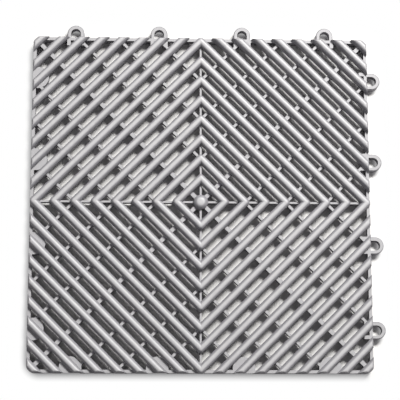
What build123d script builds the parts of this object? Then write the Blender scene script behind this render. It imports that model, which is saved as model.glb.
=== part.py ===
"""Interlocking floor tile, moulded in one piece.

Round-topped ribs run as concentric diamonds round a centre button and carry on as straight
bars across the corners. Low cross-ribs tie them together and stand on feet, a rim closes the
outline, loops reach out from two edges, and pegs hang in pockets along the other two.

Millimetres, +Z up. The origin is the middle of the tile's square body, on the floor.
"""
from build123d import *
from math import sqrt
import os

os.makedirs("parts", exist_ok=True)

# Tile body
tile_side = 400.0
tile_height = 19.0
corner_radius = 8.5
top_edge_round = 3.2

# Ribs: sixteen lines a quarter, at even steps out along the quarter's diagonal
rib_count = 16
rib_width = 9.6
rib_wall = 2.4
rib_crown = 3.2
rib_step = 16.95

# Rim, cross-ribs, webs and feet
rim_top = 12.7
rim_width = 3.6
drain_height = 4.0
drain_spring = 2.4
cross_rib_width = 3.1
diagonal_rib_width = 4.7
axis_web_width = 2.3

# Centre button
button_radius = 8.5
button_dome = 4.0
button_flat_radius = 2.0
button_post_radius = 5.0

# Loops, and the pads that cover a neighbour's loops and carry the pegs for them
loops_per_edge = 4
loop_outer_radius = 10.2
loop_hole_radius = 5.9
loop_centre_out = 5.8
loop_leg_in = 6.0
loop_edge_bevel = 1.0
pad_thickness = 2.6
pad_wall = 2.2
loop_clearance = 0.6
stack_clearance = 0.3
peg_clearance = 0.45
peg_core_radius = 2.8
peg_short_of_floor = 1.5
peg_lead_in = 1.0

# Worked out from the sizes above
half_side = tile_side / 2
corner_reach = half_side * sqrt(2)
rib_radius = rib_width / 2
rib_spring = tile_height - rib_radius
rib_ceiling = tile_height - rib_crown
channel_reach = rib_radius - rib_wall
rib_soffit = rim_top - pad_thickness
first_rib = corner_reach - (rib_count - 0.5) * rib_step
rib_distances = [first_rib + count * rib_step for count in range(rib_count)]
closed_ribs = [distance for distance in rib_distances if distance * sqrt(2) < half_side]
open_ribs = rib_distances[len(closed_ribs):]
tie_distances = closed_ribs[1::2]
edge_step = rib_step * sqrt(2)
drain_width = edge_step - rib_width * sqrt(2)
first_drain = open_ribs[0] * sqrt(2) - half_side - edge_step / 2
drain_places = [first_drain + count * edge_step for count in range(len(open_ribs))]
button_dome_run = button_radius - button_flat_radius
button_dome_radius = (button_dome_run**2 + button_dome**2) / (2 * button_dome)
loop_pitch = tile_side / loops_per_edge
link_places = [(count + 0.5) * loop_pitch - half_side for count in range(loops_per_edge)]
loop_top = rib_soffit - stack_clearance
pocket_radius = loop_outer_radius + loop_clearance
pad_radius = pocket_radius + pad_wall
peg_radius = loop_hole_radius - peg_clearance

inwards = (Align.CENTER, Align.MAX)
outwards = (Align.CENTER, Align.MIN)
across_diagonal = Plane(origin=(0, 0, 0), x_dir=(1, 1, 0), z_dir=(1, -1, 0))
along_diagonal = Locations(Location((0, 0, 0), (0, 0, 45)))
along_rib = (-1, 1, 0)

# One rib's section: a channel with its back up, half-round outside and square inside
with BuildSketch() as rib_section:
    with BuildLine():
        ThreePointArc((-rib_radius, rib_spring), (0, tile_height), (rib_radius, rib_spring))
        Polyline(
            (rib_radius, rib_spring), (rib_radius, rib_soffit), (channel_reach, rib_soffit),
            (channel_reach, rib_ceiling), (-channel_reach, rib_ceiling), (-channel_reach, rib_soffit),
            (-rib_radius, rib_soffit), (-rib_radius, rib_spring),
        )
    make_face()

# The eighth of the tile between its +Y axis and its diagonal, from which the rest is mirrored
with BuildSketch() as eighth_outline:
    RectangleRounded(tile_side, tile_side, corner_radius)
    Polygon((0, 0), (half_side, half_side), (0, half_side), align=None, mode=Mode.INTERSECT)

# The same as a block, its outer top edge rounded where it cuts the rib ends
with BuildPart() as eighth_block:
    add(eighth_outline.sketch)
    extrude(amount=tile_height)
    outer_edges = eighth_block.edges().group_by(Axis.Z)[-1].filter_by(
        lambda edge: edge.center().Y > half_side - corner_radius
    )
    fillet(outer_edges, top_edge_round)

# A drain through the rim, seen from outside
with BuildSketch() as drain:
    with BuildLine():
        Polyline(
            (-drain_width / 2, drain_spring), (-drain_width / 2, 0),
            (drain_width / 2, 0), (drain_width / 2, drain_spring),
        )
        ThreePointArc((drain_width / 2, drain_spring), (0, drain_height), (-drain_width / 2, drain_spring))
    make_face()

# The eighth's ribs: the closed ones end on the +Y axis, the open ones at the edge
with BuildPart() as ribs:
    for distance in closed_ribs:
        with BuildSketch(across_diagonal):
            with Locations((distance, 0)):
                add(rib_section.sketch)
        extrude(amount=distance, dir=along_rib)
    with BuildSketch(across_diagonal):
        for distance in open_ribs:
            with Locations((distance, 0)):
                add(rib_section.sketch)
    extrude(amount=half_side, dir=along_rib)
    add(eighth_block.part, mode=Mode.INTERSECT)

# The closed ribs' corners on the +Y axis, turned about their crests
with BuildPart() as rib_corners:
    for distance in closed_ribs:
        apex = distance * sqrt(2)
        with BuildSketch(Plane(origin=(0, apex, 0), x_dir=(1, 1, 0), z_dir=(1, -1, 0))):
            add(rib_section.sketch)
            Rectangle(rib_width, 2 * tile_height, align=(Align.MAX, Align.CENTER), mode=Mode.SUBTRACT)
        revolve(axis=Axis((0, apex, 0), (0, 0, 1)), revolution_arc=90)
    split(bisect_by=Plane.XZ.offset(-half_side), keep=Keep.TOP)

# The eighth's share of the centre button's head
with BuildPart() as button:
    with BuildSketch(Plane.YZ):
        with BuildLine():
            Polyline(
                (button_flat_radius, tile_height), (0, tile_height), (0, rib_soffit),
                (button_radius, rib_soffit), (button_radius, tile_height - button_dome),
            )
            RadiusArc(
                (button_radius, tile_height - button_dome), (button_flat_radius, tile_height),
                -button_dome_radius,
            )
        make_face()
    revolve(axis=Axis.Z, revolution_arc=-45)

with BuildPart() as eighth:
    # Cross-ribs, webs and the rim's upper part, clear of the floor
    with BuildSketch(Plane.XY.offset(drain_height)):
        Rectangle(axis_web_width, tile_side)
        with along_diagonal:
            Rectangle(2 * corner_reach, diagonal_rib_width)
            for tie in tie_distances:
                with Locations((corner_reach / 2, tie)):
                    Rectangle(corner_reach - 2 * tie, cross_rib_width)
        add(eighth_outline.sketch, mode=Mode.INTERSECT)
    extrude(amount=rim_top - drain_height)

    # Feet where ribs cross the cross-ribs, where closed ribs turn, and under the button
    with BuildSketch():
        Circle(button_post_radius)
        with Locations(*((0, distance * sqrt(2)) for distance in closed_ribs)):
            Rectangle(axis_web_width, rib_width)
        with along_diagonal:
            with Locations(*((distance, 0) for distance in rib_distances)):
                Rectangle(rib_width, diagonal_rib_width)
            for tie in tie_distances:
                crossed = [d for d in rib_distances if tie + cross_rib_width < min(d, corner_reach - d)]
                with Locations(*((distance, tie) for distance in crossed)):
                    Rectangle(rib_width, cross_rib_width)
        add(eighth_outline.sketch, mode=Mode.INTERSECT)
    extrude(amount=rim_top)

    # Rim: a wall down to the floor with an arched drain between each two rib ends
    with BuildPart(mode=Mode.PRIVATE) as rim:
        with BuildSketch():
            add(eighth_outline.sketch)
            RectangleRounded(
                tile_side - 2 * rim_width, tile_side - 2 * rim_width, corner_radius - rim_width,
                mode=Mode.SUBTRACT,
            )
        extrude(amount=rim_top)
        with BuildSketch(Plane.XZ):
            with Locations(*((place, 0) for place in drain_places)):
                add(drain.sketch)
        extrude(amount=-tile_side, mode=Mode.SUBTRACT)
    add(rim.part)
    add(ribs.part)
    add(button.part)

# The quarter of the tile behind one edge
with BuildPart() as edge_quarter:
    add(eighth.part)
    mirror(about=Plane.YZ)
    add(rib_corners.part)

# A loop on the +Y edge, drawn about the middle of its hole, with legs that rise behind the rim
loop_leg_length = loop_centre_out + rim_width + loop_leg_in
with BuildPart() as loop:
    with BuildSketch():
        Circle(loop_outer_radius)
        Rectangle(2 * loop_outer_radius, loop_leg_length, align=inwards)
        Circle(loop_hole_radius, mode=Mode.SUBTRACT)
        Rectangle(2 * loop_hole_radius, loop_leg_length, align=inwards, mode=Mode.SUBTRACT)
    extrude(amount=loop_top)
    top_arcs = loop.edges().group_by(Axis.Z)[-1].filter_by(GeomType.CIRCLE)
    chamfer(top_arcs.sort_by(SortBy.RADIUS)[-1], loop_edge_bevel)
    with BuildSketch():
        with Locations((0, -loop_centre_out)):
            Rectangle(2 * loop_outer_radius, rim_width + loop_leg_in, align=inwards)
            Rectangle(2 * loop_hole_radius, rim_width + loop_leg_in, align=inwards, mode=Mode.SUBTRACT)
    extrude(amount=rim_top)

# The hollow under a pad, open to the floor and to the edge at +Y
with BuildPart() as pocket:
    with BuildSketch():
        Circle(pocket_radius)
        Rectangle(2 * pocket_radius, loop_centre_out, align=outwards)
    extrude(amount=rib_soffit)

# The pad, its wall round that hollow, and the hollow peg that hangs in it
with BuildPart() as pad:
    with BuildSketch():
        Circle(pad_radius)
        with Locations((0, loop_centre_out)):
            Rectangle(2 * pad_radius, loop_centre_out, align=inwards)
            Rectangle(2 * pad_radius, 2 * pad_radius, align=inwards, mode=Mode.INTERSECT)
    extrude(amount=rim_top)
    add(pocket.part, mode=Mode.SUBTRACT)
    with BuildSketch(Plane.XZ):
        with BuildLine():
            Polyline(
                (peg_core_radius, rib_soffit), (peg_core_radius, peg_short_of_floor),
                (peg_radius - peg_lead_in, peg_short_of_floor),
                (peg_radius, peg_short_of_floor + peg_lead_in), (peg_radius, rib_soffit), close=True,
            )
        make_face()
    revolve(axis=Axis.Z)

# The quarter behind an edge that gives loops, and the one behind an edge that takes them
with BuildPart() as loop_quarter:
    add(edge_quarter.part)
    with Locations(*((place, half_side + loop_centre_out) for place in link_places)):
        add(loop.part)

with BuildPart() as pad_quarter:
    add(edge_quarter.part)
    with Locations(*((place, half_side - loop_centre_out) for place in link_places)):
        add(pocket.part, mode=Mode.SUBTRACT)
        add(pad.part)

# Loops on the edges at +Y and +X, pads on the edges at -X and -Y
with BuildPart() as floor_tile:
    with PolarLocations(0, 2, start_angle=-90, angular_range=180):
        add(loop_quarter.part)
    with PolarLocations(0, 2, start_angle=90, angular_range=180):
        add(pad_quarter.part)

floor_tile.part.label = "floor_tile"
export_step(floor_tile.part, "parts/floor_tile.step")
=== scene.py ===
"""Looks of the interlocking floor tile: one moulding of plain grey polypropylene on a pale floor."""
from math import cos, radians, sin

import bpy
from mathutils import Matrix, Vector


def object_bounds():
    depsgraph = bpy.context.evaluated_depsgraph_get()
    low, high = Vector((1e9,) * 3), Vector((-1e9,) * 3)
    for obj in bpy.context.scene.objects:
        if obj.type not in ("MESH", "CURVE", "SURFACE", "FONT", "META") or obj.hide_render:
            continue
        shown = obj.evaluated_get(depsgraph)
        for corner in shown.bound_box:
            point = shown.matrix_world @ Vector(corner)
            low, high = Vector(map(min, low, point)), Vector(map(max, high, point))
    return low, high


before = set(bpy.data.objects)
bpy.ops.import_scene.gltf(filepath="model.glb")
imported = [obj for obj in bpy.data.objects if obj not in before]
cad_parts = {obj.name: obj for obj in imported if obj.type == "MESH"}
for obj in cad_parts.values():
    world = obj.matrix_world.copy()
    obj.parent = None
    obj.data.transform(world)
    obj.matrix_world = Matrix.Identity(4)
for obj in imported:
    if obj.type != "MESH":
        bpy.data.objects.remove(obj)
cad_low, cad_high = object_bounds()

# Metres, in the CAD model's own frame
mm = 0.001
tile_height = cad_high[2]
body_half_side = -cad_low[0]

# Light levels, where 1 is white
wall_light = 0.22
ceiling_light = 0.11


def linear(hex_colour):
    """An sRGB hex colour as the linear RGBA that a node takes."""
    channels = [int(hex_colour[start:start + 2], 16) / 255 for start in (1, 3, 5)]
    return [c / 12.92 if c <= 0.04045 else ((c + 0.055) / 1.055) ** 2.4 for c in channels] + [1.0]


def add_node(tree, kind, settings=None, inputs=None, links=None):
    """Adds a node, sets its options and its sockets' values, and links outputs into its sockets."""
    node = tree.nodes.new(kind)
    for name, value in (settings or {}).items():
        setattr(node, name, value)
    for socket, value in (inputs or {}).items():
        node.inputs[socket].default_value = value
    for socket, output in (links or {}).items():
        tree.links.new(output, node.inputs[socket])
    return node


def new_material(name):
    """An empty node material and its node tree."""
    material = bpy.data.materials.new(name)
    material.use_nodes = True
    material.node_tree.nodes.clear()
    return material, material.node_tree


def moulded_polypropylene():
    """Silver-grey polypropylene, injection moulded in a spark-eroded tool.

    Upward faces are painted paler and the sides darker, as painted light and shade, and the crests
    carry a painted highlight; it has a fine grain, slow flow shades where the melt ran,
    and crests a little smoother where shoes and tyres rub.
    """
    material, tree = new_material("moulded_polypropylene")
    place = add_node(tree, "ShaderNodeTexCoord").outputs["Object"]

    # Flow shades about 70 mm long, as broad as a melt front
    flow = add_node(
        tree, "ShaderNodeTexNoise",
        inputs={"Scale": 1 / (70 * mm), "Detail": 3.0, "Roughness": 0.55, "Distortion": 0.6},
        links={"Vector": place},
    )
    flow_shade = add_node(
        tree, "ShaderNodeMapRange",
        inputs={"From Min": 0.3, "From Max": 0.7, "To Min": 0.0, "To Max": 1.0},
        links={"Value": flow.outputs["Fac"]},
    )
    # The sides keep this darker grey as painted shade against the paler tops
    body_colour = add_node(
        tree, "ShaderNodeMix", settings={"data_type": "RGBA"},
        inputs={"A": linear("#8E8D91"), "B": linear("#9A999D")},
        links={"Factor": flow_shade.outputs["Result"]},
    )

    # Painted light and shade: upward faces are painted paler and the sides left darker, fading as a rib's
    # back turns over
    facing = add_node(tree, "ShaderNodeNewGeometry").outputs["Normal"]
    upward = add_node(tree, "ShaderNodeSeparateXYZ", links={"Vector": facing}).outputs["Z"]
    painted_top_light = add_node(
        tree, "ShaderNodeMath", settings={"operation": "POWER"}, inputs={1: 9.0}, links={0: upward},
    )
    # The paler grey mixed in here is painted light on faces that look up
    painted_top_light_colour = add_node(
        tree, "ShaderNodeMix", settings={"data_type": "RGBA"},
        inputs={"B": linear("#BBBABC")},
        links={"Factor": painted_top_light.outputs["Value"], "A": body_colour.outputs["Result"]},
    )

    # Painted highlight: the crests' top millimetre is painted paler in patches about 8 mm wide, and is
    # made a little smoother where traffic rubs
    height = add_node(tree, "ShaderNodeSeparateXYZ", links={"Vector": place}).outputs["Z"]
    crest = add_node(
        tree, "ShaderNodeMapRange", settings={"interpolation_type": "SMOOTHSTEP"},
        inputs={"From Min": tile_height - 1 * mm, "From Max": tile_height, "To Min": 0.0, "To Max": 1.0},
        links={"Value": height},
    )
    crest_patches = add_node(
        tree, "ShaderNodeTexNoise",
        inputs={"Scale": 1 / (8 * mm), "Detail": 4.0, "Roughness": 0.6},
        links={"Vector": place},
    )
    crest_patch_strength = add_node(
        tree, "ShaderNodeMapRange",
        inputs={"From Min": 0.3, "From Max": 0.7, "To Min": 0.6, "To Max": 0.95},
        links={"Value": crest_patches.outputs["Fac"]},
    )
    rub_and_painted_highlight = add_node(
        tree, "ShaderNodeMath", settings={"operation": "MULTIPLY"},
        links={0: crest.outputs["Result"], 1: crest_patch_strength.outputs["Result"]},
    )
    # The paler grey mixed in here is a painted highlight on the crests
    painted_crest_highlight_colour = add_node(
        tree, "ShaderNodeMix", settings={"data_type": "RGBA"},
        inputs={"B": linear("#D1D0D1")},
        links={"Factor": rub_and_painted_highlight.outputs["Value"], "A": painted_top_light_colour.outputs["Result"]},
    )
    roughness = add_node(
        tree, "ShaderNodeMapRange",
        inputs={"From Min": 0.0, "From Max": 0.9, "To Min": 0.46, "To Max": 0.4},
        links={"Value": rub_and_painted_highlight.outputs["Value"]},
    )

    # Spark-eroded grain, 0.3 mm on the tool, drawn at 0.8 mm so that it shows
    grain = add_node(
        tree, "ShaderNodeTexNoise",
        inputs={"Scale": 1 / (0.8 * mm), "Detail": 2.0, "Roughness": 0.5},
        links={"Vector": place},
    )
    grain_bump = add_node(
        tree, "ShaderNodeBump", inputs={"Strength": 0.25, "Distance": 0.05 * mm},
        links={"Height": grain.outputs["Fac"]},
    )

    # Slow waves about 12 mm long, where the thick crown shrank
    sink = add_node(
        tree, "ShaderNodeTexNoise",
        inputs={"Scale": 1 / (12 * mm), "Detail": 1.0, "Roughness": 0.4},
        links={"Vector": place},
    )
    surface = add_node(
        tree, "ShaderNodeBump", inputs={"Strength": 0.2, "Distance": 0.1 * mm},
        links={"Height": sink.outputs["Fac"], "Normal": grain_bump.outputs["Normal"]},
    )

    shader = add_node(
        tree, "ShaderNodeBsdfPrincipled",
        inputs={"IOR": 1.49, "Specular IOR Level": 0.45},
        links={
            "Base Color": painted_crest_highlight_colour.outputs["Result"],
            "Roughness": roughness.outputs["Result"],
            "Normal": surface.outputs["Normal"],
        },
    )
    add_node(tree, "ShaderNodeOutputMaterial", links={"Surface": shader.outputs["BSDF"]})
    return material


def pale_floor():
    """Smooth matt floor: white to the camera, and a quieter grey to the light that bounces off it.

    Away from the tile it turns to pure white for the camera, so its shadow fades softly.
    """
    material, tree = new_material("pale_floor")
    place = add_node(tree, "ShaderNodeTexCoord").outputs["Object"]

    # The fade follows the distance outside a square a little smaller than the tile, which is
    # moved towards the loops to keep the shadows in them
    square_half_side = body_half_side - 10 * mm
    towards_loops = 5 * mm
    fade_start = 10 * mm
    fade_end = 26 * mm
    from_middle = add_node(
        tree, "ShaderNodeVectorMath", settings={"operation": "SUBTRACT"},
        inputs={1: (towards_loops, towards_loops, 0)}, links={0: place},
    )
    across = add_node(
        tree, "ShaderNodeVectorMath", settings={"operation": "ABSOLUTE"},
        links={0: from_middle.outputs["Vector"]},
    )
    beyond = add_node(
        tree, "ShaderNodeVectorMath", settings={"operation": "SUBTRACT"},
        inputs={1: (square_half_side, square_half_side, 0)}, links={0: across.outputs["Vector"]},
    )
    outside = add_node(
        tree, "ShaderNodeVectorMath", settings={"operation": "MAXIMUM"},
        inputs={1: (0, 0, 0)}, links={0: beyond.outputs["Vector"]},
    )
    distance = add_node(
        tree, "ShaderNodeVectorMath", settings={"operation": "LENGTH"},
        links={0: outside.outputs["Vector"]},
    )
    fade = add_node(
        tree, "ShaderNodeMapRange", settings={"interpolation_type": "SMOOTHSTEP"},
        inputs={"From Min": fade_start, "From Max": fade_end, "To Min": 0.0, "To Max": 1.0},
        links={"Value": distance.outputs["Value"]},
    )

    white = add_node(tree, "ShaderNodeEmission", inputs={"Color": (1, 1, 1, 1), "Strength": 1.0})
    shown = add_node(tree, "ShaderNodeBsdfDiffuse", inputs={"Color": linear("#FCFBF9")})
    bounced = add_node(tree, "ShaderNodeBsdfDiffuse", inputs={"Color": linear("#D3D1D0")})
    faded = add_node(
        tree, "ShaderNodeMixShader",
        links={0: fade.outputs["Result"], 1: shown.outputs["BSDF"], 2: white.outputs["Emission"]},
    )
    seen = add_node(tree, "ShaderNodeLightPath")
    floor = add_node(
        tree, "ShaderNodeMixShader",
        links={0: seen.outputs["Is Camera Ray"], 1: bounced.outputs["BSDF"], 2: faded.outputs["Shader"]},
    )
    add_node(tree, "ShaderNodeOutputMaterial", links={"Surface": floor.outputs["Shader"]})
    return material


def lay_floor():
    """The studio floor under the tile."""
    bpy.ops.object.select_all(action="DESELECT")
    bpy.ops.mesh.primitive_plane_add(size=6.0, location=(0, 0, 0))
    floor = bpy.context.object
    floor.name = "studio_floor"
    floor.data.materials.append(pale_floor())


def light_room():
    """Faintly cool light from pale walls under a dimmer ceiling; the camera sees plain white."""
    world = bpy.data.worlds.new("white_room")
    bpy.context.scene.world = world
    world.use_nodes = True
    tree = world.node_tree
    tree.nodes.clear()
    direction = add_node(tree, "ShaderNodeTexCoord").outputs["Generated"]
    rise = add_node(tree, "ShaderNodeSeparateXYZ", links={"Vector": direction}).outputs["Z"]
    walls = add_node(
        tree, "ShaderNodeMapRange", settings={"interpolation_type": "SMOOTHSTEP"},
        inputs={"From Min": 0.5, "From Max": 0.85, "To Min": wall_light, "To Max": ceiling_light},
        links={"Value": rise},
    )
    ambient = add_node(
        tree, "ShaderNodeBackground", inputs={"Color": linear("#FBF9FF")},
        links={"Strength": walls.outputs["Result"]},
    )
    backdrop = add_node(tree, "ShaderNodeBackground", inputs={"Color": (1, 1, 1, 1), "Strength": 1.0})
    seen = add_node(tree, "ShaderNodeLightPath")
    shown = add_node(
        tree, "ShaderNodeMixShader",
        links={
            0: seen.outputs["Is Camera Ray"],
            1: ambient.outputs["Background"],
            2: backdrop.outputs["Background"],
        },
    )
    add_node(tree, "ShaderNodeOutputWorld", links={"Surface": shown.outputs["Shader"]})


def hang_lamp(name, azimuth, elevation, distance, width, height, power):
    """An oblong, faintly warm softbox that looks at the tile.

    Azimuth and elevation are in degrees, with azimuth 0 at +X and 90 at +Y. Power is in watts.
    """
    lamp = bpy.data.lights.new(name, "AREA")
    lamp.shape = "RECTANGLE"
    lamp.size = width
    lamp.size_y = height
    lamp.energy = power
    lamp.color = linear("#FFFEFC")[:3]
    holder = bpy.data.objects.new(name, lamp)
    bpy.context.scene.collection.objects.link(holder)
    out = Vector((
        cos(radians(azimuth)) * cos(radians(elevation)),
        sin(radians(azimuth)) * cos(radians(elevation)),
        sin(radians(elevation)),
    ))
    holder.location = out * distance
    holder.rotation_euler = out.to_track_quat("Z", "Y").to_euler()


def set_camera(lean, turn, distance, aim, frame_width):
    """A camera that leans off the vertical towards -Y, turned a little towards -X.

    Lean and turn are in degrees, and frame_width is what fills the picture's width at the aim.
    """
    lens = bpy.data.cameras.new("photo_camera")
    camera = bpy.data.objects.new("photo_camera", lens)
    bpy.context.scene.collection.objects.link(camera)
    back = Vector((
        -sin(radians(turn)) * sin(radians(lean)),
        -cos(radians(turn)) * sin(radians(lean)),
        cos(radians(lean)),
    ))
    right = Vector((0, 1, 0)).cross(back).normalized()
    up = back.cross(right)
    camera.location = Vector(aim) + back * distance
    camera.rotation_euler = Matrix((right, up, back)).transposed().to_euler()
    lens.sensor_width = 36
    lens.lens = lens.sensor_width * distance / frame_width
    lens.clip_start = 0.05
    lens.clip_end = 20
    bpy.context.scene.camera = camera


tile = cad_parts["floor_tile"]
tile.material_slots[0].material = moulded_polypropylene()

lay_floor()
light_room()
hang_lamp("key_softbox", azimuth=59, elevation=50, distance=2.4, width=0.9, height=0.5, power=75)
set_camera(lean=11, turn=12, distance=1.6, aim=(-1.1 * mm, 1.4 * mm, tile_height), frame_width=469.1 * mm)
bpy.context.scene.view_settings.view_transform = "Standard"
